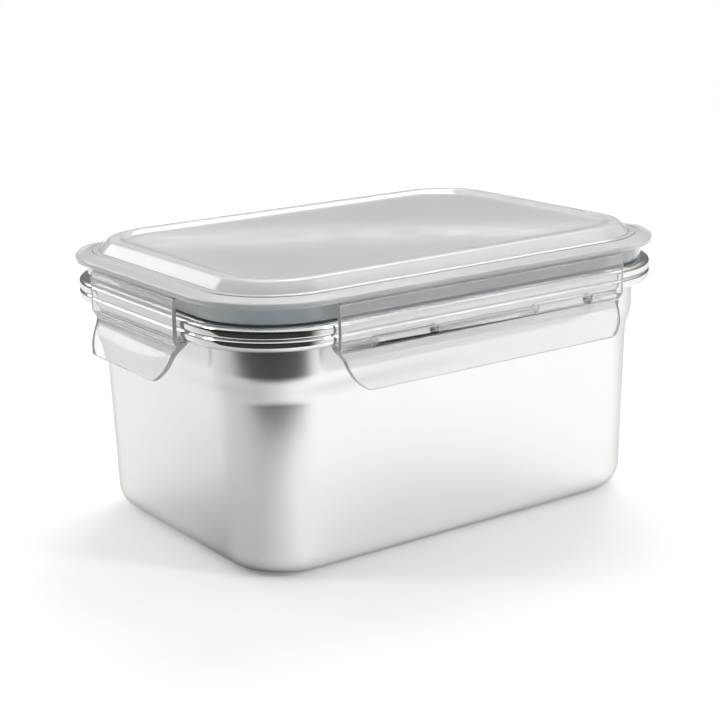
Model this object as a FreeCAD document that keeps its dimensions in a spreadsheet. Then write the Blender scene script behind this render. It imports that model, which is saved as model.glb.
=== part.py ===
import FreeCAD, Part
import math
import os
import Sketcher

# Clip-lock lunch box: drawn steel tub, clear moulded lid, seal ring and four hinged flaps.
# Lengths are in millimetres. The origin is on the table under the middle of the box,
# +X runs along the length, -Y is the front and +Z is up.

SIZES = {
    # Steel tub. The band is the upright strip of wall under the rim, and it carries the plan size.
    "band_length": 185.2,
    "band_width": 130.2,
    "band_corner": 28.6,
    "tub_height": 91.4,
    "steel_gauge": 0.7,
    "base_inset": 4.1,
    "base_round": 9.1,
    "shoulder_foot": 62.5,
    "shoulder_rise": 11.5,
    "shoulder_step": 2.2,
    # Rim of the tub: a flat land, then a hem that hangs down, parted into two beads by a groove.
    "land_bend": 1.2,
    "rim_reach": 6.6,
    "rim_drop": 8.0,
    "rim_round": 1.6,
    "heel_round": 2.2,
    "groove_drop": 3.9,
    "groove_rise": 0.7,
    "groove_depth": 0.7,
    "hem_depth": 2.5,
    # Lid flange and skirt. The skirt hangs round the seal, the locator drops inside the tub.
    "lid_overhang": 0.8,
    "flange_rise": 6.75,
    "flange_edge": 2.0,
    "flange_round": 0.6,
    "skirt_inset": 3.9,
    "skirt_lean": 0.5,
    "skirt_wall": 1.4,
    "skirt_gap": 0.9,
    "locator_gap": 0.8,
    "locator_wall": 1.5,
    "locator_drop": 2.0,
    "channel_roof": 0.3,
    # Top of the lid: a sloping ledge, a fine step, a bevelled dome ring and a shallow recess.
    "ledge_width": 6.3,
    "ledge_rise": 0.8,
    "step_rise": 0.4,
    "step_width": 0.4,
    "dome_rise": 3.8,
    "dome_bend": 2.2,
    "crest_width": 3.4,
    "recess_slope": 4.0,
    "recess_depth": 1.2,
    "lid_wall": 1.8,
    # Seal ring in the channel of the lid.
    "seal_play": 0.15,
    "seal_bevel": 0.7,
    # Flaps. Each hangs from a thin film under the flange edge and hooks under the rim.
    "long_flap": 126.4,
    "short_flap": 60.8,
    "hinge_round": 0.55,
    "film_wall": 0.35,
    "film_play": 0.05,
    "film_lap": 1.0,
    "film_reach": 0.45,
    "film_short": 1.0,
    "flap_clear": 0.7,
    "flap_wall": 1.6,
    "flap_taper": 4.3,
    "catch_gap": 0.4,
    "catch_reach": 3.9,
    "catch_nose": 1.6,
    "catch_round": 0.5,
    "crease_drop": 2.1,
    "crease_depth": 1.3,
    "tab_drop": 11.6,
    "tab_flare": 5.6,
    "tab_wall": 1.8,
    "end_slope": 2.0,
    "tab_corner": 11.0,
    # Two windows through the wall and the catch of each long flap, just above the crease.
    "window_length": 25.5,
    "window_height": 3.6,
    "window_pitch": 70.6,
    "window_sill": 0.1,
}

# How far the flat pads lap over the swept rings that they close.
LAP = "1.5"

doc = FreeCAD.newDocument("lunch_box")
sheet = doc.addObject("Spreadsheet::Sheet", "Dims")
for row, (word, size) in enumerate(SIZES.items(), start=1):
    sheet.set(f"A{row}", word)
    sheet.set(f"B{row}", str(size))
    sheet.setAlias(f"B{row}", word)
doc.recompute()


def size_of(text):
    """Add up a sum such as "band_length + 0.5*rim_bead" from the values in the sheet."""
    total = 0.0
    sign = 1.0
    for word in text.split():
        if word in ("+", "-"):
            sign = 1.0 if word == "+" else -1.0
            continue
        term = sign
        for factor in word.split("*"):
            term *= sheet.get(factor) if factor in SIZES else float(factor)
        total += term
        sign = 1.0
    return total


def bound(text):
    """The same sum as an expression that reads the sheet."""
    words = []
    for word in text.split():
        factors = ["Dims." + f if f in SIZES else f for f in word.split("*")]
        words.append("*".join(factors))
    return " ".join(words)


def less(text, taken):
    """The sum with another sum taken off it."""
    swap = {"+": "-", "-": "+"}
    return text + " - " + " ".join(swap.get(word, word) for word in taken.split())


def minus(text):
    """The sum with every sign turned round."""
    return less("0", text)


def arc_between(start, end, radius):
    """The shorter arc that runs anticlockwise from start to end."""
    run_x = end[0] - start[0]
    run_y = end[1] - start[1]
    chord = math.hypot(run_x, run_y)
    height = math.sqrt(radius * radius - chord * chord / 4)
    centre_x = (start[0] + end[0]) / 2 - run_y / chord * height
    centre_y = (start[1] + end[1]) / 2 + run_x / chord * height
    first = math.atan2(start[1] - centre_y, start[0] - centre_x)
    last = math.atan2(end[1] - centre_y, end[0] - centre_x)
    if last < first:
        last += 2 * math.pi
    circle = Part.Circle(FreeCAD.Vector(centre_x, centre_y, 0), FreeCAD.Vector(0, 0, 1), radius)
    return Part.ArcOfCircle(circle, first, last)


def radius_of(radius):
    """Value and expression of a radius, given as a sum or as the (step, run) of an S bend.

    An S bend has two equal arcs, so each has the radius (step * step + run * run) / (4 * step).
    """
    if isinstance(radius, str):
        return size_of(radius), bound(radius)
    step, run = (size_of(text) for text in radius)
    step_cell, run_cell = (bound(text) for text in radius)
    return (step * step + run * run) / (4 * step), f"({step_cell}^2 + {run_cell}^2) / (4 * {step_cell})"


def draw(sketch, corners):
    """Draw a closed outline and bind every corner and radius to the sheet.

    A corner is (x, y) or (x, y, turn, radius), where turn says whether the arc that leaves the
    corner bends "left" or "right".
    """
    spots = [(size_of(corner[0]), size_of(corner[1])) for corner in corners]
    ends = []
    for number, corner in enumerate(corners):
        start = spots[number]
        end = spots[(number + 1) % len(spots)]
        if len(corner) == 2:
            line = Part.LineSegment(FreeCAD.Vector(*start, 0), FreeCAD.Vector(*end, 0))
            ends.append((sketch.addGeometry(line, False), 1, 2))
            continue
        left = corner[2] == "left"
        radius, expression = radius_of(corner[3])
        arc = arc_between(start, end, radius) if left else arc_between(end, start, radius)
        piece = sketch.addGeometry(arc, False)
        ends.append((piece, 1, 2) if left else (piece, 2, 1))
        held = sketch.addConstraint(Sketcher.Constraint("Radius", piece, radius))
        sketch.setExpression(f"Constraints[{held}]", expression)
    for number, corner in enumerate(corners):
        piece, first, last = ends[number]
        following, its_first, its_last = ends[(number + 1) % len(ends)]
        sketch.addConstraint(Sketcher.Constraint("Coincident", piece, last, following, its_first))
        for kind, axis, text, spot in zip(("DistanceX", "DistanceY"), (-2, -1), corner, spots[number]):
            if text == "0":
                sketch.addConstraint(Sketcher.Constraint("PointOnObject", piece, first, axis))
                continue
            held = sketch.addConstraint(Sketcher.Constraint(kind, -1, 1, piece, first, spot))
            sketch.setExpression(f"Constraints[{held}]", bound(text))


def new_body(name):
    """An empty body labelled with the name of its node."""
    body = doc.addObject("PartDesign::Body", name)
    body.Label = name
    return body


def new_sketch(body, name, role, lift=None):
    """A sketch on one of the body's own planes, moved along its normal by lift."""
    sketch = body.newObject("Sketcher::SketchObject", name)
    plane = next(item for item in body.Origin.OriginFeatures if item.Role == role)
    sketch.AttachmentSupport = [(plane, "")]
    sketch.MapMode = "FlatFace"
    if lift:
        sketch.setExpression("AttachmentOffset.Base.z", bound(lift))
    return sketch


def draw_plan(sketch, inset):
    """Draw the plan of the band, moved in by inset with its corners kept concentric.

    The outline starts halfway along the right-hand end, where the swept sections are drawn.
    """
    reach = less("0.5*band_length", inset)
    depth = less("0.5*band_width", inset)
    corner = less("band_corner", inset)
    short = "0.5*band_length - band_corner"
    shallow = "0.5*band_width - band_corner"
    draw(
        sketch,
        [
            (reach, "0"),
            (reach, shallow, "left", corner),
            (short, depth),
            (minus(short), depth, "left", corner),
            (minus(reach), shallow),
            (minus(reach), minus(shallow), "left", corner),
            (minus(short), minus(depth)),
            (short, minus(depth), "left", corner),
            (reach, minus(shallow)),
        ],
    )


def sweep(body, name, section):
    """Sweep a section round the plan of the band."""
    path = new_sketch(body, name + "_path", "XY_Plane")
    draw_plan(path, "0")
    profile = new_sketch(body, name + "_section", "XZ_Plane")
    draw(profile, section)
    doc.recompute()
    ring = body.newObject("PartDesign::AdditivePipe", name)
    ring.Profile = profile
    ring.Spine = path
    doc.recompute()
    return ring


def close_ring(body, name, inset, low, wall):
    """Fill the middle of a swept ring with a flat pad."""
    plan = new_sketch(body, name + "_plan", "XY_Plane", low)
    draw_plan(plan, inset)
    pad = body.newObject("PartDesign::Pad", name)
    pad.Profile = plan
    pad.setExpression("Length", bound(wall))
    doc.recompute()
    return pad


# Shared lines. X values are at the right-hand end of the box.
BAND_X = "0.5*band_length"
TUB_INNER_X = BAND_X + " - steel_gauge"
FOOT_X = BAND_X + " - base_inset"
RIM_X = BAND_X + " + rim_reach"
EDGE_X = RIM_X + " + lid_overhang"
LAND_Z = "tub_height"
GROOVE_Z = LAND_Z + " - groove_drop"
RIM_LOW_Z = LAND_Z + " - rim_drop"
FLANGE_LOW_Z = LAND_Z + " + flange_rise"
FLANGE_TOP_Z = FLANGE_LOW_Z + " + flange_edge"
LEDGE_Z = FLANGE_TOP_Z + " + ledge_rise"
STEP_Z = LEDGE_Z + " + step_rise"
CREST_Z = STEP_Z + " + dome_rise"
PANEL_Z = CREST_Z + " - recess_depth"


def make_tub():
    """Drawn tub: one sheet section from the flat base up to the rolled rim, then the base."""
    body = new_body("steel_tub")
    bend = ("shoulder_step", "shoulder_rise")
    low_x = BAND_X + " - shoulder_step"
    middle_x = BAND_X + " - 0.5*shoulder_step"
    low_z = "shoulder_foot"
    middle_z = "shoulder_foot + 0.5*shoulder_rise"
    high_z = "shoulder_foot + shoulder_rise"
    gauge = " - steel_gauge"
    base_x = FOOT_X + " - base_round"
    hem_x = RIM_X + " - hem_depth"
    under_z = LAND_Z + " - steel_gauge"
    section = [
        (base_x + " - 2*" + LAP, "0"),
        (base_x, "0", "left", "base_round"),
        (FOOT_X, "base_round"),
        (low_x, low_z, "right", bend),
        (middle_x, middle_z, "left", bend),
        (BAND_X, high_z),
        (BAND_X, LAND_Z + " - land_bend"),
        (BAND_X + " + land_bend - steel_gauge", under_z),
        (hem_x, under_z),
        (hem_x, RIM_LOW_Z),
        (RIM_X + " - heel_round", RIM_LOW_Z, "left", "heel_round"),
        (RIM_X, RIM_LOW_Z + " + heel_round"),
        (RIM_X, GROOVE_Z + " - groove_rise"),
        (RIM_X + " - groove_depth", GROOVE_Z),
        (RIM_X, GROOVE_Z + " + groove_rise"),
        (RIM_X, LAND_Z + " - rim_round", "left", "rim_round"),
        (RIM_X + " - rim_round", LAND_Z),
        (TUB_INNER_X + " + land_bend", LAND_Z, "left", "land_bend"),
        (TUB_INNER_X, LAND_Z + " - land_bend"),
        (TUB_INNER_X, high_z, "right", bend),
        (middle_x + gauge, middle_z, "left", bend),
        (low_x + gauge, low_z),
        (FOOT_X + gauge, "base_round", "right", "base_round - steel_gauge"),
        (base_x, "steel_gauge"),
        (base_x + " - 2*" + LAP, "steel_gauge"),
    ]
    sweep(body, "tub_wall", section)
    close_ring(body, "tub_base", "base_inset + base_round + " + LAP, "0", "steel_gauge")
    return body


# Faces of the lid. The dome rises at 45 degrees, so its bend starts and ends at fixed shares
# of the bend radius from the crest line.
SKIRT_X = EDGE_X + " - skirt_inset"
SKIRT_LOW_X = SKIRT_X + " - skirt_lean"
CHANNEL_OUT_X = SKIRT_LOW_X + " - skirt_wall"
LOCATOR_X = TUB_INNER_X + " - locator_gap"
CHANNEL_TOP_Z = FLANGE_LOW_Z + " + channel_roof"
DOME_X = LOCATOR_X
CREST_X = DOME_X + " - dome_rise"
RECESS_TOP_X = CREST_X + " - crest_width"
PANEL_X = RECESS_TOP_X + " - recess_slope"
PANEL_INSET = "steel_gauge + locator_gap + dome_rise + crest_width + recess_slope"


def make_lid():
    """Lid shell: flange, skirt, seal channel, locator and dome ring, then the flat panel."""
    body = new_body("lid_shell")
    bend = ("recess_depth", "recess_slope")
    wall = " - lid_wall"
    locator_in_x = LOCATOR_X + " - locator_wall"
    locator_low_z = LAND_Z + " - locator_drop"
    skirt_low_z = LAND_Z + " + skirt_gap"
    slope_x = RECESS_TOP_X + " - 0.5*recess_slope"
    slope_z = CREST_Z + " - 0.5*recess_depth"
    ledge_x = EDGE_X + " - ledge_width"
    section = [
        (PANEL_X + " - 2*" + LAP, PANEL_Z + wall),
        (PANEL_X, PANEL_Z + wall),
        (RECESS_TOP_X, CREST_Z + wall),
        (CREST_X, CREST_Z + wall),
        (locator_in_x, STEP_Z + wall + " + locator_wall"),
        (locator_in_x, locator_low_z),
        (LOCATOR_X, locator_low_z),
        (LOCATOR_X, CHANNEL_TOP_Z),
        (CHANNEL_OUT_X, CHANNEL_TOP_Z),
        (CHANNEL_OUT_X, skirt_low_z),
        (SKIRT_LOW_X, skirt_low_z),
        (SKIRT_X, FLANGE_LOW_Z),
        (EDGE_X, FLANGE_LOW_Z),
        (EDGE_X, FLANGE_TOP_Z + " - flange_round", "left", "flange_round"),
        (EDGE_X + " - flange_round", FLANGE_TOP_Z),
        (ledge_x, LEDGE_Z),
        (ledge_x + " - step_width", STEP_Z),
        (DOME_X, STEP_Z),
        (CREST_X + " + 0.293*dome_bend", CREST_Z + " - 0.293*dome_bend", "left", "dome_bend"),
        (CREST_X + " - 0.414*dome_bend", CREST_Z),
        (RECESS_TOP_X, CREST_Z, "left", bend),
        (slope_x, slope_z, "right", bend),
        (PANEL_X, PANEL_Z),
        (PANEL_X + " - 2*" + LAP, PANEL_Z),
    ]
    sweep(body, "lid_ring", section)
    close_ring(body, "lid_panel", PANEL_INSET + " + " + LAP, PANEL_Z + wall, "lid_wall")
    return body


def make_seal():
    """Seal ring: fills the channel of the lid and stands on the land of the tub."""
    body = new_body("seal_ring")
    out_x = CHANNEL_OUT_X + " - seal_play"
    in_x = LOCATOR_X + " + seal_play"
    section = [
        (in_x + " + seal_bevel", LAND_Z),
        (out_x + " - seal_bevel", LAND_Z),
        (out_x, LAND_Z + " + seal_bevel"),
        (out_x, CHANNEL_TOP_Z),
        (in_x, CHANNEL_TOP_Z),
        (in_x, LAND_Z + " + seal_bevel"),
    ]
    sweep(body, "seal", section)
    return body


def pad_across(body, name, section, length):
    """Pad a section to both sides of its plane."""
    pad = body.newObject("PartDesign::Pad", name)
    pad.Profile = section
    pad.Midplane = True
    pad.setExpression("Length", bound(length))
    doc.recompute()


# Lines of a flap. X is measured outwards from the edge of the flange.
HINGE_Z = FLANGE_LOW_Z + " - film_wall - film_play - hinge_round"
FLAP_IN_X = "flap_clear - lid_overhang"
FLAP_OUT_X = FLAP_IN_X + " + flap_wall"
CATCH_Z = RIM_LOW_Z + " - catch_gap"
CREASE_X = FLAP_OUT_X + " - crease_depth"
CREASE_Z = CATCH_Z + " - crease_drop"
TAB_X = CREASE_X + " + tab_flare"
TAB_Z = CREASE_Z + " - tab_drop"
# The tab leans out by about one in two, so its thickness splits by these shares.
TAB_ACROSS = "0.894*tab_wall"
TAB_DOWN = "0.447*tab_wall"


def make_flap(name, length, windows):
    """Flap: S-bent section with its catch, cut to a tapering tab."""
    body = new_body(name)
    nose_x = FLAP_IN_X + " - catch_reach"
    nose_low_z = CATCH_Z + " - catch_nose"
    taper_z = HINGE_Z + " - flap_taper"
    root_x = CREASE_X + " + 0.25*tab_flare - " + TAB_ACROSS
    root_z = CREASE_Z + " - 0.25*tab_drop - " + TAB_DOWN
    section = new_sketch(body, name + "_section", "XZ_Plane")
    draw(
        section,
        [
            ("0", HINGE_Z),
            (FLAP_IN_X, taper_z),
            (FLAP_IN_X, CATCH_Z),
            (nose_x + " + catch_round", CATCH_Z, "left", "catch_round"),
            (nose_x, CATCH_Z + " - catch_round"),
            (nose_x, nose_low_z),
            (root_x, root_z),
            (TAB_X + " - " + TAB_ACROSS, TAB_Z + " - " + TAB_DOWN, "left", "0.55*tab_wall"),
            (TAB_X, TAB_Z),
            (CREASE_X, CREASE_Z),
            (FLAP_OUT_X, CREASE_Z + " + 2*crease_depth"),
            (FLAP_OUT_X, taper_z),
            ("2*hinge_round", HINGE_Z, "left", "hinge_round"),
            ("hinge_round", HINGE_Z + " + hinge_round", "left", "hinge_round"),
        ],
    )
    pad_across(body, name + "_pad", section, length)

    # The ends lean in a little below the crease, and the lower corners of the tab are rounded.
    half = "0.5*" + length
    low_z = TAB_Z + " - tab_wall"
    far = half + " + 5"
    lean_z = CREASE_Z + " + crease_depth"
    for side in ("near", "far"):
        flip = minus if side == "near" else str
        turn = "left" if side == "near" else "right"
        ends = new_sketch(body, name + "_" + side + "_end", "YZ_Plane")
        draw(
            ends,
            [
                (flip(half), lean_z),
                (flip(half + " - end_slope"), low_z + " + tab_corner", turn, "tab_corner"),
                (flip(half + " - end_slope - tab_corner"), low_z),
                (flip(half + " - end_slope - tab_corner"), low_z + " - 5"),
                (flip(far), low_z + " - 5"),
                (flip(far), lean_z),
            ],
        )
        trim = body.newObject("PartDesign::Pocket", name + "_" + side + "_trim")
        trim.Profile = ends
        trim.Type = "ThroughAll"
        trim.Midplane = True
        doc.recompute()

    if windows:
        opening = new_sketch(body, name + "_windows", "YZ_Plane")
        sill_z = CREASE_Z + " + window_sill"
        head_z = sill_z + " + window_height"
        near = "0.5*window_pitch - 0.5*window_length"
        beyond = "0.5*window_pitch + 0.5*window_length"
        for flip in (minus, str):
            draw_window(opening, [flip(near), flip(beyond)], [sill_z, head_z])
        cut = body.newObject("PartDesign::Pocket", name + "_window_cut")
        cut.Profile = opening
        cut.Type = "ThroughAll"
        cut.Midplane = True
        doc.recompute()

    return body


def draw_window(sketch, across, upright):
    """Draw one rectangle of a window sketch."""
    draw(
        sketch,
        [
            (across[0], upright[0]),
            (across[1], upright[0]),
            (across[1], upright[1]),
            (across[0], upright[1]),
        ],
    )


def make_film(name, length):
    """Hinge film: the thin strip under the flange edge that reaches over the top of a flap."""
    body = new_body(name)
    section = new_sketch(body, name + "_section", "XZ_Plane")
    low_z = FLANGE_LOW_Z + " - film_wall"
    draw(
        section,
        [
            (minus("film_lap"), low_z),
            ("film_reach", low_z),
            ("film_reach", FLANGE_LOW_Z),
            (minus("film_lap"), FLANGE_LOW_Z),
        ],
    )
    pad_across(body, name + "_pad", section, length + " - 2*film_short")
    return body


HALF_LENGTH = EDGE_X
HALF_WIDTH = "0.5*band_width + rim_reach + lid_overhang"
# The sides in the order of quarter turns from the right-hand end.
SIDES = {
    "right": ("short_flap", False, HALF_LENGTH, "0"),
    "back": ("long_flap", True, "0", HALF_WIDTH),
    "left": ("short_flap", False, minus(HALF_LENGTH), "0"),
    "front": ("long_flap", True, "0", minus(HALF_WIDTH)),
}

made = [make_tub(), make_lid(), make_seal()]
for turns, (side, (length, windows, edge_x, edge_y)) in enumerate(SIDES.items()):
    for piece in (make_flap("flap_" + side, length, windows), make_film("film_" + side, length)):
        piece.Placement.Rotation = FreeCAD.Rotation(FreeCAD.Vector(0, 0, 1), 90 * turns)
        piece.setExpression("Placement.Base.x", bound(edge_x))
        piece.setExpression("Placement.Base.y", bound(edge_y))
        made.append(piece)
doc.recompute()

os.makedirs("parts", exist_ok=True)
for item in doc.Objects:
    if "Invalid" in item.State or "Error" in item.State:
        raise RuntimeError(f"{item.Name} did not compute: {item.State}")
for item in made:
    if item.Shape.isNull() or not item.Shape.isValid():
        raise RuntimeError(f"{item.Label} has no valid shape")
    item.Shape.exportStep(f"parts/{item.Label}.step")
    print(item.Label, len(item.Shape.Solids), round(item.Shape.Volume, 1), item.Shape.BoundBox)
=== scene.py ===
import logging
import math
from dataclasses import dataclass
from enum import Enum

import bmesh
import bpy
import numpy as np
from mathutils import Matrix, Vector


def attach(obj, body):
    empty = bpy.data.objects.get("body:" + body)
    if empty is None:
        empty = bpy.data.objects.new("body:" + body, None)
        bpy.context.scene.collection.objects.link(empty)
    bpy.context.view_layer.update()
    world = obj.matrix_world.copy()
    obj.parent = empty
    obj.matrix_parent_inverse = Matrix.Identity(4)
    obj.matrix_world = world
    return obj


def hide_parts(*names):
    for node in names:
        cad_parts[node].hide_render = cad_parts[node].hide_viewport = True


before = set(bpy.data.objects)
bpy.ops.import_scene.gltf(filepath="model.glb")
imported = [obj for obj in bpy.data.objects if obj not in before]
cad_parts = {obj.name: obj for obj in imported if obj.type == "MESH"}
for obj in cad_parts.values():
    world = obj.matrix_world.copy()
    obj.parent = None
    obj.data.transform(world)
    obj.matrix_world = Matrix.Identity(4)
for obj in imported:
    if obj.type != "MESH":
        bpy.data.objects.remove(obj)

logging.basicConfig(level=logging.INFO, format="%(message)s")
log = logging.getLogger("lunch_box")

MM = 0.001


class Cap(Enum):
    """How the two ends of a swept section are closed."""

    FLAT = "flat"
    LOOP = "loop"


class Side(Enum):
    """Side of the box that a flap and its film hang on."""

    FRONT = "front"
    BACK = "back"
    LEFT = "left"
    RIGHT = "right"

    def along(self) -> int:
        """Axis that runs along the flap: 0 for x, 1 for y."""
        return 0 if self in (Side.FRONT, Side.BACK) else 1


def linear(colour: str) -> tuple[float, float, float, float]:
    """Turn an sRGB hex colour into linear RGBA.

    Args:
        colour: Six hex digits with a leading hash.

    Returns:
        Linear red, green and blue, and an alpha of 1.
    """
    parts = [int(colour[i : i + 2], 16) / 255 for i in (1, 3, 5)]
    red, green, blue = [c / 12.92 if c <= 0.04045 else ((c + 0.055) / 1.055) ** 2.4 for c in parts]
    return red, green, blue, 1.0


def add_node(
    tree: bpy.types.NodeTree, kind: str, settings: dict | None = None, **inputs: object
) -> bpy.types.Node:
    """Add one shader node, with its settings and its inputs set or linked.

    Args:
        tree: Node tree that takes the node.
        kind: Blender name of the node type.
        settings: Properties of the node itself.
        inputs: Value or socket for each input, by its name with underscores for spaces, or i0, i1 by place.

    Returns:
        The new node.
    """
    node = tree.nodes.new(kind)
    for name, value in (settings or {}).items():
        setattr(node, name, value)
    for name, value in inputs.items():
        place = int(name[1:]) if name[0] == "i" and name[1:].isdigit() else name.replace("_", " ")
        if isinstance(value, bpy.types.NodeSocket):
            tree.links.new(value, node.inputs[place])
        else:
            node.inputs[place].default_value = value
    return node


def new_material(name: str) -> tuple[bpy.types.Material, bpy.types.NodeTree]:
    """Make an empty node material.

    Args:
        name: Name of the real material and its process.

    Returns:
        The material and its cleared node tree.
    """
    material = bpy.data.materials.new(name)
    material.use_nodes = True
    material.node_tree.nodes.clear()
    return material, material.node_tree


def noise(tree: bpy.types.NodeTree, size_mm: float, detail: float = 3) -> bpy.types.NodeSocket:
    """Noise over the object's own coordinates.

    Args:
        tree: Node tree that takes the nodes.
        size_mm: Size of one patch of the noise in millimetres.
        detail: Octaves of finer noise.

    Returns:
        Socket with the noise value, from 0 to 1.
    """
    spot = add_node(tree, "ShaderNodeTexCoord").outputs["Object"]
    scale = 1 / (size_mm * MM)
    return add_node(tree, "ShaderNodeTexNoise", Vector=spot, Scale=scale, Detail=detail).outputs["Fac"]


def ramp(
    tree: bpy.types.NodeTree, value: bpy.types.NodeSocket, start: float, end: float, low: float, high: float
) -> bpy.types.NodeSocket:
    """Straight run from low to high as a value goes from start to end.

    Args:
        tree: Node tree that takes the node.
        value: Socket with the value.
        start: Value where the run starts.
        end: Value where it ends.
        low: Result at the start and before.
        high: Result at the end and beyond.

    Returns:
        Socket with the result.
    """
    return add_node(tree, "ShaderNodeMapRange", i0=value, i1=start, i2=end, i3=low, i4=high).outputs[0]


def combine(tree: bpy.types.NodeTree, kind: str, one: object, other: object) -> bpy.types.NodeSocket:
    """Put two numbers together with one math operation.

    Args:
        tree: Node tree that takes the node.
        kind: Blender name of the operation.
        one: First number or socket.
        other: Second number or socket.

    Returns:
        Socket with the result.
    """
    return add_node(tree, "ShaderNodeMath", {"operation": kind}, i0=one, i1=other).outputs[0]


def blend(
    tree: bpy.types.NodeTree, share: bpy.types.NodeSocket, one: object, other: object
) -> bpy.types.NodeSocket:
    """Go from one number to another as a share goes from 0 to 1.

    Args:
        tree: Node tree that takes the node.
        share: Socket with the share.
        one: Number or socket at a share of 0.
        other: Number or socket at a share of 1.

    Returns:
        Socket with the result.
    """
    return add_node(tree, "ShaderNodeMix", {"data_type": "FLOAT"}, i0=share, i2=one, i3=other).outputs[0]


def mixed(
    tree: bpy.types.NodeTree, share: bpy.types.NodeSocket, one: tuple, other: tuple
) -> bpy.types.NodeSocket:
    """Go from one linear colour to another as a share goes from 0 to 1.

    Args:
        tree: Node tree that takes the node.
        share: Socket with the share.
        one: Linear colour at a share of 0.
        other: Linear colour at a share of 1.

    Returns:
        Socket with the colour.
    """
    return add_node(tree, "ShaderNodeMix", {"data_type": "RGBA"}, i0=share, i6=one, i7=other).outputs[2]


def vector(tree: bpy.types.NodeTree, kind: str, one: object, other: tuple = (0, 0, 0)) -> bpy.types.Node:
    """Work on directions with one vector operation.

    Args:
        tree: Node tree that takes the node.
        kind: Blender name of the operation.
        one: First direction or socket.
        other: Second direction.

    Returns:
        The node, whose outputs are Vector and Value.
    """
    return add_node(tree, "ShaderNodeVectorMath", {"operation": kind}, i0=one, i1=other)


@dataclass(frozen=True)
class SteelFinish:
    """Stainless steel with a fine drawn grain and faint handling patches.

    grazing is the colour at a glancing view, and patch is how far the roughness wanders.
    """

    name: str
    colour: str
    grazing: str
    roughness: float
    patch: float
    grain_mm: float
    grain_depth_mm: float

    def material(self) -> bpy.types.Material:
        """Build the material.

        Returns:
            Metal whose roughness wanders a little and whose surface carries a fine grain.
        """
        material, tree = new_material(self.name)
        patches = noise(tree, 22)
        grain = noise(tree, self.grain_mm, detail=2)
        rough = ramp(tree, patches, 0.3, 0.7, self.roughness - self.patch, self.roughness + self.patch)
        depth = self.grain_depth_mm * MM
        bump = add_node(tree, "ShaderNodeBump", Strength=1.0, Distance=depth, Height=grain)
        shader = add_node(
            tree,
            "ShaderNodeBsdfPrincipled",
            Base_Color=linear(self.colour),
            Metallic=1.0,
            Specular_Tint=linear(self.grazing),
            Roughness=rough,
            Normal=bump.outputs["Normal"],
        )
        add_node(tree, "ShaderNodeOutputMaterial", Surface=shader.outputs[0])
        return material


@dataclass(frozen=True)
class ClearPlastic:
    """Clear injection-moulded polypropylene: glossy, a little milky, with slow moulding ripples.

    clarity is the share of light that goes through, and the rest scatters and looks milky.
    """

    name: str
    colour: str
    clarity: float
    roughness: float
    ripple_mm: float
    ripple_depth_mm: float

    def material(self) -> bpy.types.Material:
        """Build the material.

        Returns:
            Clear plastic with a share of milky scatter and a rippled surface.
        """
        material, tree = new_material(self.name)
        rough = ramp(tree, noise(tree, 9), 0.3, 0.7, self.roughness * 0.6, self.roughness * 1.4)
        ripple = noise(tree, self.ripple_mm, detail=1)
        depth = self.ripple_depth_mm * MM
        bump = add_node(tree, "ShaderNodeBump", Strength=1.0, Distance=depth, Height=ripple)
        shader = add_node(
            tree,
            "ShaderNodeBsdfPrincipled",
            Base_Color=linear(self.colour),
            Roughness=rough,
            IOR=1.49,
            Transmission_Weight=self.clarity,
            Normal=bump.outputs["Normal"],
        )
        add_node(tree, "ShaderNodeOutputMaterial", Surface=shader.outputs[0])
        return material


@dataclass(frozen=True)
class Silicone:
    """Moulded silicone rubber: satin, with faint cloudy patches."""

    name: str
    colour: str
    deep: str
    roughness: float

    def material(self) -> bpy.types.Material:
        """Build the material.

        Returns:
            Soft satin rubber.
        """
        material, tree = new_material(self.name)
        clouds = ramp(tree, noise(tree, 6), 0.3, 0.7, 0.0, 1.0)
        tint = mixed(tree, clouds, linear(self.colour), linear(self.deep))
        shader = add_node(tree, "ShaderNodeBsdfPrincipled", Base_Color=tint, Roughness=self.roughness)
        add_node(tree, "ShaderNodeOutputMaterial", Surface=shader.outputs[0])
        return material


# Deep-drawn stainless sheet, satin from the press: it mirrors the floor and room as soft bands of light.
# Its grain is finer than a pixel, so it is drawn at 0.35 mm.
SATIN_STEEL = SteelFinish("drawn_stainless_satin", "#ebeae8", "#cfcfce", 0.252, 0.012, 0.35, 0.0003)
# The rolled rim of the same sheet, buffed: crisp dark and white lines along its two beads.
POLISHED_STEEL = SteelFinish("rolled_rim_stainless_polished", "#e9e9e8", "#dcdcdb", 0.10, 0.02, 1.2, 0.0004)
# Polypropylene of the lid's top, thick enough to look milky, with soft reflections that waver.
LID_PLASTIC = ClearPlastic("moulded_polypropylene_clear_lid", "#fdfdfd", 0.52, 0.05, 40, 0.018)
# The thin skirt of the lid, clear enough to show the colour of the seal behind it.
SKIRT_PLASTIC = ClearPlastic("moulded_polypropylene_clear_skirt", "#fdfdfd", 0.86, 0.06, 14, 0.02)
# Painted shade: the fine steps at the foot of the dome get a grey, half-clear plastic, so that they show as
# thin dark lines.
STEP_SHADE_PLASTIC = ClearPlastic("moulded_polypropylene_step_painted_shade", "#8d9396", 0.30, 0.10, 14, 0.02)
# The thin flaps, which show the seal, rim and wall behind them.
FLAP_PLASTIC = ClearPlastic("moulded_polypropylene_clear_flap", "#fdfdfd", 0.88, 0.05, 14, 0.03)
# Painted highlight: the rounded edges and ends of the flaps get a white, nearly opaque plastic, so that
# they look white where clear plastic would gather light.
EDGE_HIGHLIGHT_PLASTIC = ClearPlastic("moulded_polypropylene_painted_highlight_edge", "#ffffff", 0.10, 0.10, 14, 0.02)
# Blue-grey silicone seal: a dull even band with faint clouds.
SEAL_RUBBER = Silicone("moulded_silicone_blue_grey", "#bccbd1", "#acbcc3", 0.45)


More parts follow.
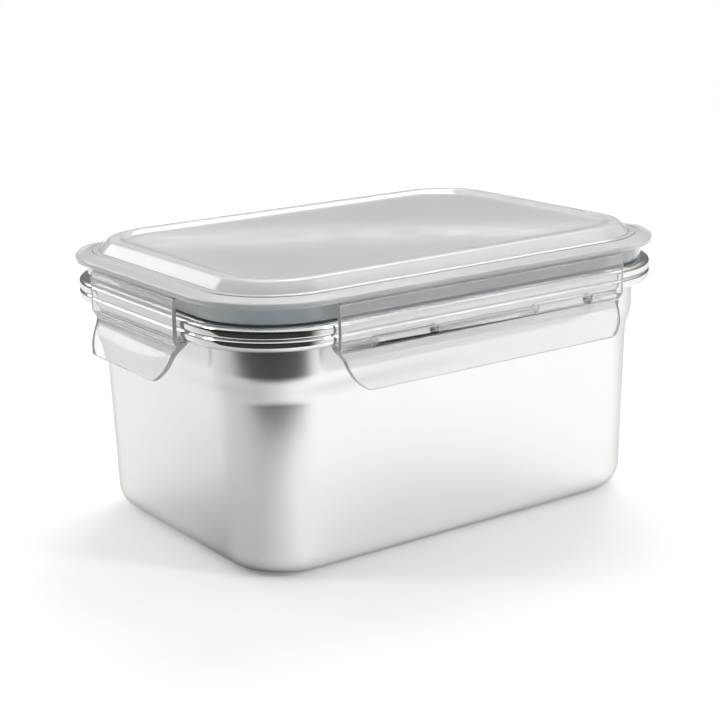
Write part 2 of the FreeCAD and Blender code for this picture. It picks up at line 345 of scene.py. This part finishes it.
@dataclass(frozen=True)
class Plan:
    """Plan of the box: a rectangle with round corners, which sections are swept round. Sizes in mm."""

    length: float = 185.2
    width: float = 130.2
    corner: float = 28.6
    arc_steps: int = 36
    side_steps: int = 16

    def path(self) -> tuple[np.ndarray, np.ndarray]:
        """Walk the plan anticlockwise.

        Returns:
            Points on the plan and the outward normal at each, both as rows of x and y.
        """
        spots, normals = [], []
        for turn, (sx, sy) in enumerate(((1, 1), (-1, 1), (-1, -1), (1, -1))):
            angle = np.radians(90 * turn + np.linspace(0, 90, self.arc_steps + 1))
            normal = np.c_[np.cos(angle), np.sin(angle)]
            centre = np.array([sx * (self.length / 2 - self.corner), sy * (self.width / 2 - self.corner)])
            spots.append(centre + self.corner * normal)
            normals.append(normal)
        walk, facing = [], []
        for here in range(4):
            gap = np.linspace(0, 1, self.side_steps + 1)[1:-1, None]
            after = spots[(here + 1) % 4][0]
            walk += [spots[here], spots[here][-1] * (1 - gap) + after * gap]
            facing += [normals[here], np.repeat(normals[here][-1:], len(gap), axis=0)]
        return np.vstack(walk), np.vstack(facing)


def round_off(corners: list[tuple[float, float, float]], closed: bool, steps: int = 8) -> np.ndarray:
    """Round the corners of a section with tangent arcs.

    Args:
        corners: Reach, height and rounding radius of each corner in mm.
        closed: Whether the last corner joins the first.
        steps: Straight steps in a quarter turn of arc.

    Returns:
        Rows of reach and height in mm.
    """
    at = np.array([c[:2] for c in corners], float)
    out = []
    for i, (x, z, radius) in enumerate(corners):
        here = np.array([x, z], float)
        if radius <= 0 or (not closed and i in (0, len(corners) - 1)):
            out.append(here[None])
            continue
        back = at[i - 1] - here
        ahead = at[(i + 1) % len(at)] - here
        back /= np.linalg.norm(back)
        ahead /= np.linalg.norm(ahead)
        half = math.acos(float(np.clip(back @ ahead, -1, 1))) / 2
        centre = here + (back + ahead) / np.linalg.norm(back + ahead) * radius / math.sin(half)
        first = here + back * radius / math.tan(half) - centre
        last = here + ahead * radius / math.tan(half) - centre
        span = math.pi - 2 * half
        side = math.copysign(1.0, first[0] * last[1] - first[1] * last[0])
        angle = side * np.linspace(0, span, max(2, round(steps * span / (math.pi / 2)) + 1))
        turn_x = first[0] * np.cos(angle) - first[1] * np.sin(angle)
        turn_z = first[0] * np.sin(angle) + first[1] * np.cos(angle)
        out.append(centre + np.c_[turn_x, turn_z])
    return np.vstack(out)


def sweep(name: str, plan: Plan, section: np.ndarray, cap: Cap) -> bpy.types.Object:
    """Sweep a section round the plan.

    Each point is a plan point plus the outward normal times the reach, lifted to the height.

    Args:
        name: Name of the piece.
        plan: Plan to follow.
        section: Rows of reach and height in mm, walked with the solid on the left.
        cap: Whether the ends are closed by flat faces, or the section is a loop.

    Returns:
        The new mesh object.
    """
    spots, normals = plan.path()
    rows, columns = len(section), len(spots)
    flat = spots[None] + normals[None] * section[:, 0, None, None]
    high = np.broadcast_to(section[:, 1, None, None], (rows, columns, 1))
    points = np.concatenate([flat, high], axis=2).reshape(-1, 3) * MM
    last = rows if cap is Cap.LOOP else rows - 1
    row, column = np.meshgrid(np.arange(last), np.arange(columns), indexing="ij")
    here, above = row * columns, (row + 1) % rows * columns
    beside = (column + 1) % columns
    quads = np.stack([here + column, here + beside, above + beside, above + column], axis=2)
    faces = quads.reshape(-1, 4).tolist()
    if cap is Cap.FLAT:
        faces.append(list(range(columns))[::-1])
        faces.append(list(range((rows - 1) * columns, rows * columns)))
    mesh = bpy.data.meshes.new(name)
    mesh.from_pydata(points.tolist(), [], faces)
    mesh.polygons.foreach_set("use_smooth", np.ones(len(mesh.polygons), bool))
    mesh.set_sharp_from_angle(angle=math.radians(38))
    mesh.update()
    piece = bpy.data.objects.new(name, mesh)
    bpy.context.scene.collection.objects.link(piece)
    return piece


@dataclass
class SteelTub:
    """Drawn tub with a shoulder and a rim rolled into two beads. Sizes in mm."""

    plan: Plan
    height: float = 91.4
    gauge: float = 0.7
    base_inset: float = 4.1
    base_round: float = 9.1
    shoulder_low: float = 65.4
    shoulder_high: float = 71.1
    shoulder_step: float = 2.2
    shoulder_bend: float = 15.0
    rim_reach: float = 6.6
    rim_drop: float = 8.0
    rim_round: float = 1.6
    heel_round: float = 2.2
    groove_drop: float = 3.9
    groove: float = 0.7
    hem: float = 2.5
    land_bend: float = 1.2

    def section(self) -> np.ndarray:
        """Section of the sheet from under the base, up the outside, over the rim and down the inside.

        Returns:
            Rows of reach and height in mm.
        """
        middle = -self.base_inset - self.base_round - 4
        step, bend = self.shoulder_step, self.shoulder_bend
        groove = self.height - self.groove_drop
        low = self.height - self.rim_drop
        under = self.height - self.gauge
        corners = [
            (middle, 0, 0),
            (-self.base_inset, 0, self.base_round),
            (-step, self.shoulder_low, bend),
            (0, self.shoulder_high, bend),
            (0, under, self.land_bend - self.gauge),
            (self.rim_reach - self.hem, under, 0.3),
            (self.rim_reach - self.hem, low, 0.2),
            (self.rim_reach, low, self.heel_round),
            (self.rim_reach, groove - self.groove, 0.8),
            (self.rim_reach - self.groove, groove, 0.2),
            (self.rim_reach, groove + self.groove, 0.8),
            (self.rim_reach, self.height, self.rim_round),
            (-self.gauge, self.height, self.land_bend),
            (-self.gauge, self.shoulder_high, bend),
            (-step - self.gauge, self.shoulder_low, bend),
            (-self.base_inset - self.gauge, self.gauge, self.base_round - self.gauge),
            (middle, self.gauge, 0),
        ]
        return round_off(corners, closed=False, steps=10)

    def build(self) -> bpy.types.Object:
        """Build the tub in place of its CAD node.

        Returns:
            The tub, with the rim polished and the rest satin.
        """
        piece = sweep("tub_sheet", self.plan, self.section(), Cap.FLAT)
        piece.data.materials.append(SATIN_STEEL.material())
        piece.data.materials.append(POLISHED_STEEL.material())
        middles = np.empty(len(piece.data.polygons) * 3)
        piece.data.polygons.foreach_get("center", middles)
        low = self.height - self.rim_drop - 0.1
        polished = (middles.reshape(-1, 3)[:, 2] / MM > low).astype(np.int32)
        piece.data.polygons.foreach_set("material_index", polished)
        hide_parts("steel_tub")
        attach(piece, "tub")
        return piece


@dataclass
class LidShell:
    """Clear lid: flange, skirt, seal channel, locator, stepped ledge, dome ring and panel. Sizes in mm."""

    plan: Plan
    land: float = 91.4
    edge: float = 7.4
    flange_low: float = 98.15
    flange_top: float = 100.15
    ledge_top: float = 100.95
    step_top: float = 101.35
    crest: float = 105.15
    panel: float = 103.95
    wall: float = 1.8
    locator: float = -1.5
    locator_in: float = -3.0
    locator_drop: float = 2.0
    channel_out: float = 1.6
    channel_roof: float = 0.3
    skirt_gap: float = 0.9
    skirt_wall: float = 1.4
    skirt_inset: float = 3.9
    ledge_width: float = 6.3
    dome_rise: float = 3.8
    dome_bend: float = 2.2
    recess_top: float = -9.7
    recess_foot: float = -11.7
    recess_bend: float = 2.5
    middle: float = -16.0

    def section(self) -> np.ndarray:
        """Section from under the panel, round the skirt and flange, and back over the top.

        Returns:
            Rows of reach and height in mm.
        """
        skirt_low = self.land + self.skirt_gap
        locator_low = self.land - self.locator_drop
        roof = self.flange_low + self.channel_roof
        ledge = self.edge - self.ledge_width
        crest_x = self.locator - self.dome_rise
        corners = [
            (self.middle, self.panel - self.wall, 0),
            (self.recess_foot, self.panel - self.wall, self.recess_bend),
            (self.recess_top, self.crest - self.wall, self.recess_bend),
            (crest_x, self.crest - self.wall, 1.0),
            (self.locator_in, self.step_top - self.wall + 1.5, 1.0),
            (self.locator_in, locator_low, 0.35),
            (self.locator, locator_low, 0.35),
            (self.locator, roof, 0.2),
            (self.channel_out, roof, 0.2),
            (self.channel_out, skirt_low, 0.3),
            (self.channel_out + self.skirt_wall, skirt_low, 0.3),
            (self.edge - self.skirt_inset, self.flange_low, 0.4),
            (self.edge, self.flange_low, 0.35),
            (self.edge, self.flange_top, 0.7),
            # Two fine steps at the inner end of the ledge.
            (ledge, self.ledge_top, 0.2),
            (ledge - 0.3, self.step_top - 0.1, 0.2),
            (ledge - 1.3, self.step_top - 0.1, 0.15),
            (ledge - 1.5, self.step_top, 0.15),
            (self.locator, self.step_top, 0.2),
            (crest_x, self.crest, self.dome_bend),
            (self.recess_top, self.crest, self.recess_bend),
            (self.recess_foot, self.panel, self.recess_bend),
            (self.middle, self.panel, 0),
        ]
        return round_off(corners, closed=False)

    def build(self) -> bpy.types.Object:
        """Build the lid in place of its CAD node.

        Returns:
            The lid shell.
        """
        section = self.section()
        piece = sweep("lid_moulding", self.plan, section, Cap.FLAT)
        for finish in (LID_PLASTIC, SKIRT_PLASTIC, STEP_SHADE_PLASTIC):
            piece.data.materials.append(finish.material())
        reach, height = ((section[1:] + section[:-1]) / 2).T
        run, rise = np.abs(np.diff(section, axis=0)).T
        skirt = (reach > self.channel_out - 0.1) & (height < self.flange_low + 0.1)
        # Painted shade: the riser and foot faces of the fine steps take the grey step plastic and show as
        # dark lines.
        riser = (reach > self.locator) & (height > self.ledge_top) & (rise > run * 0.6)
        foot = np.hypot(reach - self.locator, height - self.step_top) < 0.25
        rows = np.where(skirt, 1, np.where(riser | foot, 2, 0)).astype(np.int32)
        across = (len(piece.data.polygons) - 2) // len(rows)
        kinds = np.r_[np.repeat(rows, across), 0, 0].astype(np.int32)
        piece.data.polygons.foreach_set("material_index", kinds)
        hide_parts("lid_shell")
        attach(piece, "lid")
        return piece


@dataclass
class SealRing:
    """Silicone ring in the channel of the lid, standing on the land of the tub. Sizes in mm."""

    plan: Plan
    inner: float = -1.35
    outer: float = 1.45
    low: float = 91.4
    high: float = 98.4
    lip: float = 0.7

    def build(self) -> bpy.types.Object:
        """Build the ring in place of its CAD node.

        Returns:
            The seal ring.
        """
        corners = [
            (self.inner, self.low, self.lip),
            (self.outer, self.low, self.lip),
            (self.outer, self.high, 0.3),
            (self.inner, self.high, 0.3),
        ]
        piece = sweep("seal_silicone", self.plan, round_off(corners, closed=True), Cap.LOOP)
        piece.data.materials.append(SEAL_RUBBER.material())
        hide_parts("seal_ring")
        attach(piece, "lid")
        return piece


@dataclass
class ClipFlaps:
    """The four flaps, copied from the CAD meshes and given rounded edges with a painted white highlight,
    and their films. Sizes in mm.
    """

    edge_round: float = 0.4
    edge_steps: int = 2
    sharp_angle: float = 35.0

    def mould(self, side: Side, plastic: bpy.types.Material, edge: bpy.types.Material) -> bpy.types.Object:
        """Round the edges of one flap.

        The CAD triangles are joined, flat faces are made whole, and the edges are bevelled.

        Args:
            side: Side of the box that the flap hangs on.
            plastic: Material of its faces.
            edge: Material of its ends and rounded edges, painted white as a highlight.

        Returns:
            The flap, in place of its CAD node.
        """
        node = f"flap_{side.value}"
        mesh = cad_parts[node].data.copy()
        work = bmesh.new()
        work.from_mesh(mesh)
        bmesh.ops.remove_doubles(work, verts=work.verts, dist=0.002 * MM)
        bmesh.ops.dissolve_limit(work, angle_limit=math.radians(0.5), verts=work.verts, edges=work.edges)
        work.to_mesh(mesh)
        work.free()
        mesh.materials.clear()
        mesh.materials.append(plastic)
        mesh.materials.append(edge)
        mesh.polygons.foreach_set("use_smooth", np.ones(len(mesh.polygons), bool))
        facing, middles = np.empty((2, len(mesh.polygons) * 3))
        mesh.polygons.foreach_get("normal", facing)
        mesh.polygons.foreach_get("center", middles)
        turned = np.abs(facing.reshape(-1, 3)[:, side.along()])
        reach = np.abs(middles.reshape(-1, 3)[:, side.along()])
        # Painted highlight: the end faces take the white edge material.
        ends = (reach > 0.8 * reach.max()) & (turned > 0.4)
        mesh.polygons.foreach_set("material_index", ends.astype(np.int32))
        piece = bpy.data.objects.new(f"flap_moulding_{side.value}", mesh)
        bpy.context.scene.collection.objects.link(piece)
        bevel = piece.modifiers.new("moulded_edge", "BEVEL")
        bevel.width = self.edge_round * MM
        bevel.segments = self.edge_steps
        bevel.limit_method = "ANGLE"
        bevel.angle_limit = math.radians(self.sharp_angle)
        # Painted highlight: the bevelled edges take the white edge material as well.
        bevel.material = 1
        piece.modifiers.new("flat_faces", "WEIGHTED_NORMAL").weight = 100
        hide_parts(node)
        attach(piece, node)
        return piece

    def build(self) -> list[bpy.types.Object]:
        """Mould the flaps and give the CAD films their plastic.

        Returns:
            The flaps and the films.
        """
        plastic, edge = FLAP_PLASTIC.material(), EDGE_HIGHLIGHT_PLASTIC.material()
        pieces = []
        for side in Side:
            pieces.append(self.mould(side, plastic, edge))
            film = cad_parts[f"film_{side.value}"]
            film.data.materials.clear()
            film.data.materials.append(plastic)
            pieces.append(film)
        return pieces


@dataclass
class Studio:
    """Pale floor, soft lights, dark room on the camera's side, and the camera.

    Sizes are in metres, and directions in degrees round from the front. The mirror-like tub shows what
    stands round it, so the floor carries painted shade where the near corner mirrors it, and glows as
    painted light in what the steel mirrors.
    """

    azimuth: float = -34.9
    floor_front: float = 0.205
    floor_reach: float = 1.1
    floor_colour: str = "#f4f4f4"
    seen_tone: float = 0.95
    seen_lift: float = 0.15
    # Painted light: how much the floor glows in what the steel mirrors, less within the painted shade.
    mirror_lift: float = 0.19
    # Painted shade on the floor: a sector ahead of the near corner, darker to every ray but the camera's.
    painted_shade_azimuth: float = -88.0
    painted_shade_tone: float = 0.58
    near_corner: tuple[float, float, float] = (-0.064, -0.0365, 0.0)
    dark_azimuth: float = -59.0
    card_azimuth: float = 34.9
    sky: float = 1.0
    card: float = 0.9
    strip: float = 1.2

    def toward(self, azimuth: float) -> Vector:
        """Level direction that lies the given degrees round from the front."""
        return Vector((math.sin(math.radians(azimuth)), -math.cos(math.radians(azimuth)), 0))

    def floor(self) -> bpy.types.Object:
        """Lay the floor, which ends a little beyond the bottom of the picture.

        Returns:
            The floor object.
        """
        ahead = self.toward(self.azimuth)
        across = Vector((-ahead.y, ahead.x, 0))
        far, near = -ahead * self.floor_reach, ahead * self.floor_front
        wide = across * self.floor_reach
        mesh = bpy.data.meshes.new("floor")
        mesh.from_pydata([far - wide, far + wide, near + wide, near - wide], [], [(0, 1, 2, 3)])
        plane = bpy.data.objects.new("floor", mesh)
        bpy.context.scene.collection.objects.link(plane)
        mesh.materials.append(self.floor_paper())
        return plane

    def floor_paper(self) -> bpy.types.Material:
        """White studio paper, lifted to near white for the camera, and glowing as painted light in what the
        steel mirrors.

        Returns:
            Matt paper that keeps the shadow of the box, with painted shade ahead of the near corner for
            every ray but the camera's.
        """
        material, tree = new_material("floor_paper_white")
        path = add_node(tree, "ShaderNodeLightPath").outputs
        spot = add_node(tree, "ShaderNodeTexCoord").outputs["Object"]
        # Painted shade: ahead of the near corner the paper is darker to all rays but the camera's, so the
        # corner mirrors a dark floor.
        away = vector(tree, "SUBTRACT", spot, self.near_corner).outputs[0]
        unit = vector(tree, "NORMALIZE", away).outputs[0]
        ahead = vector(tree, "DOT_PRODUCT", unit, tuple(self.toward(self.painted_shade_azimuth))).outputs["Value"]
        painted_shade = ramp(tree, ahead, 0.25, 0.9, 1.0, self.painted_shade_tone)
        # Painted light: the floor glows for glossy rays, so the walls mirror a brighter floor, its shadows
        # included.
        painted_mirror_glow = combine(tree, "MULTIPLY", painted_shade, self.mirror_lift)
        painted_mirror_glow = combine(tree, "MULTIPLY", path["Is Glossy Ray"], painted_mirror_glow)
        shade = blend(tree, path["Is Camera Ray"], painted_shade, self.seen_tone)
        lift = blend(tree, path["Is Camera Ray"], painted_mirror_glow, self.seen_lift)
        tint = mixed(tree, shade, (0, 0, 0, 1), linear(self.floor_colour))
        paper = add_node(tree, "ShaderNodeBsdfDiffuse", Color=tint).outputs[0]
        white = add_node(tree, "ShaderNodeEmission", Color=(1, 1, 1, 1), Strength=lift).outputs[0]
        shader = add_node(tree, "ShaderNodeAddShader", i0=paper, i1=white)
        add_node(tree, "ShaderNodeOutputMaterial", Surface=shader.outputs[0])
        return material

    def light(
        self,
        name: str,
        spot: tuple[float, float, float],
        size: float,
        power: float,
        aim: tuple[float, float, float] = (0, 0, 0.05),
        beam: float = 180.0,
    ) -> None:
        """Hang one soft square light.

        Args:
            name: Name of the light.
            spot: Its place in metres.
            size: Side of the square in metres.
            power: Power in watts.
            aim: Point that it faces, in metres.
            beam: Angle of its beam in degrees.
        """
        data = bpy.data.lights.new(name, "AREA")
        data.size = size
        data.energy = power
        data.spread = math.radians(beam)
        lamp = bpy.data.objects.new(name, data)
        lamp.location = spot
        lamp.rotation_euler = (Vector(aim) - Vector(spot)).to_track_quat("-Z", "Y").to_euler()
        bpy.context.scene.collection.objects.link(lamp)

    def world(self) -> None:
        """White room with a dark opening on the camera's side, and a plain white background."""
        world = bpy.data.worlds.new("studio")
        bpy.context.scene.world = world
        world.use_nodes = True
        tree = world.node_tree
        tree.nodes.clear()
        way = add_node(tree, "ShaderNodeTexCoord").outputs["Generated"]
        height = add_node(tree, "ShaderNodeSeparateXYZ", i0=way).outputs["Z"]
        level = vector(tree, "MAXIMUM", way, (-1, -1, 0)).outputs[0]
        tall = vector(tree, "MULTIPLY", level, (1, 1, 1.8)).outputs[0]
        unit = vector(tree, "NORMALIZE", tall).outputs[0]

        def facing(azimuth: float) -> bpy.types.NodeSocket:
            """Cosine of the angle from a level direction, with heights counted nearly double."""
            return vector(tree, "DOT_PRODUCT", unit, tuple(self.toward(azimuth))).outputs["Value"]

        # The sky brightens upwards, and the ground is pale.
        sky = ramp(tree, height, 0.2, 0.7, 0.2, self.sky)
        ground = ramp(tree, height, -0.03, 0.03, 0.85, 0.0)
        # A white card stands low on the right, where the front wall mirrors it.
        card = ramp(tree, facing(self.card_azimuth), 0.7, 0.9, 0.0, self.card)
        card = combine(tree, "MULTIPLY", card, ramp(tree, height, 0.07, 0.13, 1.0, 0.0))
        # A thin strip light behind the box draws the bright line across the panel.
        strip = ramp(tree, facing(self.azimuth + 180), 0.7, 0.8, 0.0, self.strip)
        strip = combine(tree, "MULTIPLY", strip, ramp(tree, height, 0.184, 0.187, 0.0, 1.0))
        strip = combine(tree, "MULTIPLY", strip, ramp(tree, height, 0.190, 0.193, 1.0, 0.0))
        bright = combine(tree, "MAXIMUM", sky, ground)
        bright = combine(tree, "MAXIMUM", bright, combine(tree, "MAXIMUM", card, strip))
        # The dark side of the room, which the near corner mirrors.
        dark = ramp(tree, facing(self.dark_azimuth), 0.22, 0.45, 1.0, 0.05)
        room = combine(tree, "MULTIPLY", bright, dark)
        path = add_node(tree, "ShaderNodeLightPath").outputs
        # The background is white to the camera, also through clear plastic.
        white = combine(tree, "MAXIMUM", path["Is Camera Ray"], path["Is Transmission Ray"])
        strength = blend(tree, white, room, 1.0)
        shader = add_node(tree, "ShaderNodeBackground", Color=(1, 1, 1, 1), Strength=strength)
        add_node(tree, "ShaderNodeOutputWorld", Surface=shader.outputs[0])

    def camera(self) -> None:
        """Set the camera where the photo was taken from, as fitted to the lid and tub."""
        data = bpy.data.cameras.new("camera")
        data.sensor_width = 36.0
        data.lens = 84.63
        camera = bpy.data.objects.new("camera", data)
        bpy.context.scene.collection.objects.link(camera)
        right = Vector((0.816517, -0.576888, -0.022353))
        up = Vector((0.168158, 0.200612, 0.965131))
        back = Vector((-0.552289, -0.791805, 0.260812))
        turn = Matrix((right, up, back)).transposed().to_4x4()
        camera.matrix_world = Matrix.Translation((-0.365108, -0.517370, 0.224313)) @ turn
        data.clip_start = 0.01
        bpy.context.scene.camera = camera

    def build(self) -> None:
        """Set up the floor, lights, world and camera.

        The back softbox is the main light. The slope and front softboxes light the lid's slopes, and the
        other two light the floor that the left and front walls mirror.
        """
        self.floor()
        self.light("back_softbox", (0.82, 0.69, 1.42), 0.8, 10.5)
        self.light("slope_softbox", (-0.31, 0.95, 0.66), 0.42, 1.9)
        self.light("fill_softbox", (0.5, -0.8, 0.6), 0.3, 0.07, (0.04, -0.07, 0), 15)
        self.light("left_softbox", (-0.8, 0.5, 0.6), 0.3, 0.09, (-0.18, 0.06, 0), 20)
        self.light("front_softbox", (0.66, -0.31, 0.95), 0.4, 0.95)
        self.world()
        self.camera()


def main() -> None:
    """Build the lunch box in order, dress it and light it."""
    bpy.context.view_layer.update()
    plan = Plan()
    for piece in (SteelTub(plan).build(), LidShell(plan).build(), SealRing(plan).build()):
        log.info("built %s", piece.name)
    for piece in ClipFlaps().build():
        log.info("dressed %s", piece.name)
    Studio().build()
    bpy.context.scene.view_settings.view_transform = "Standard"


if __name__ == "__main__":
    main()
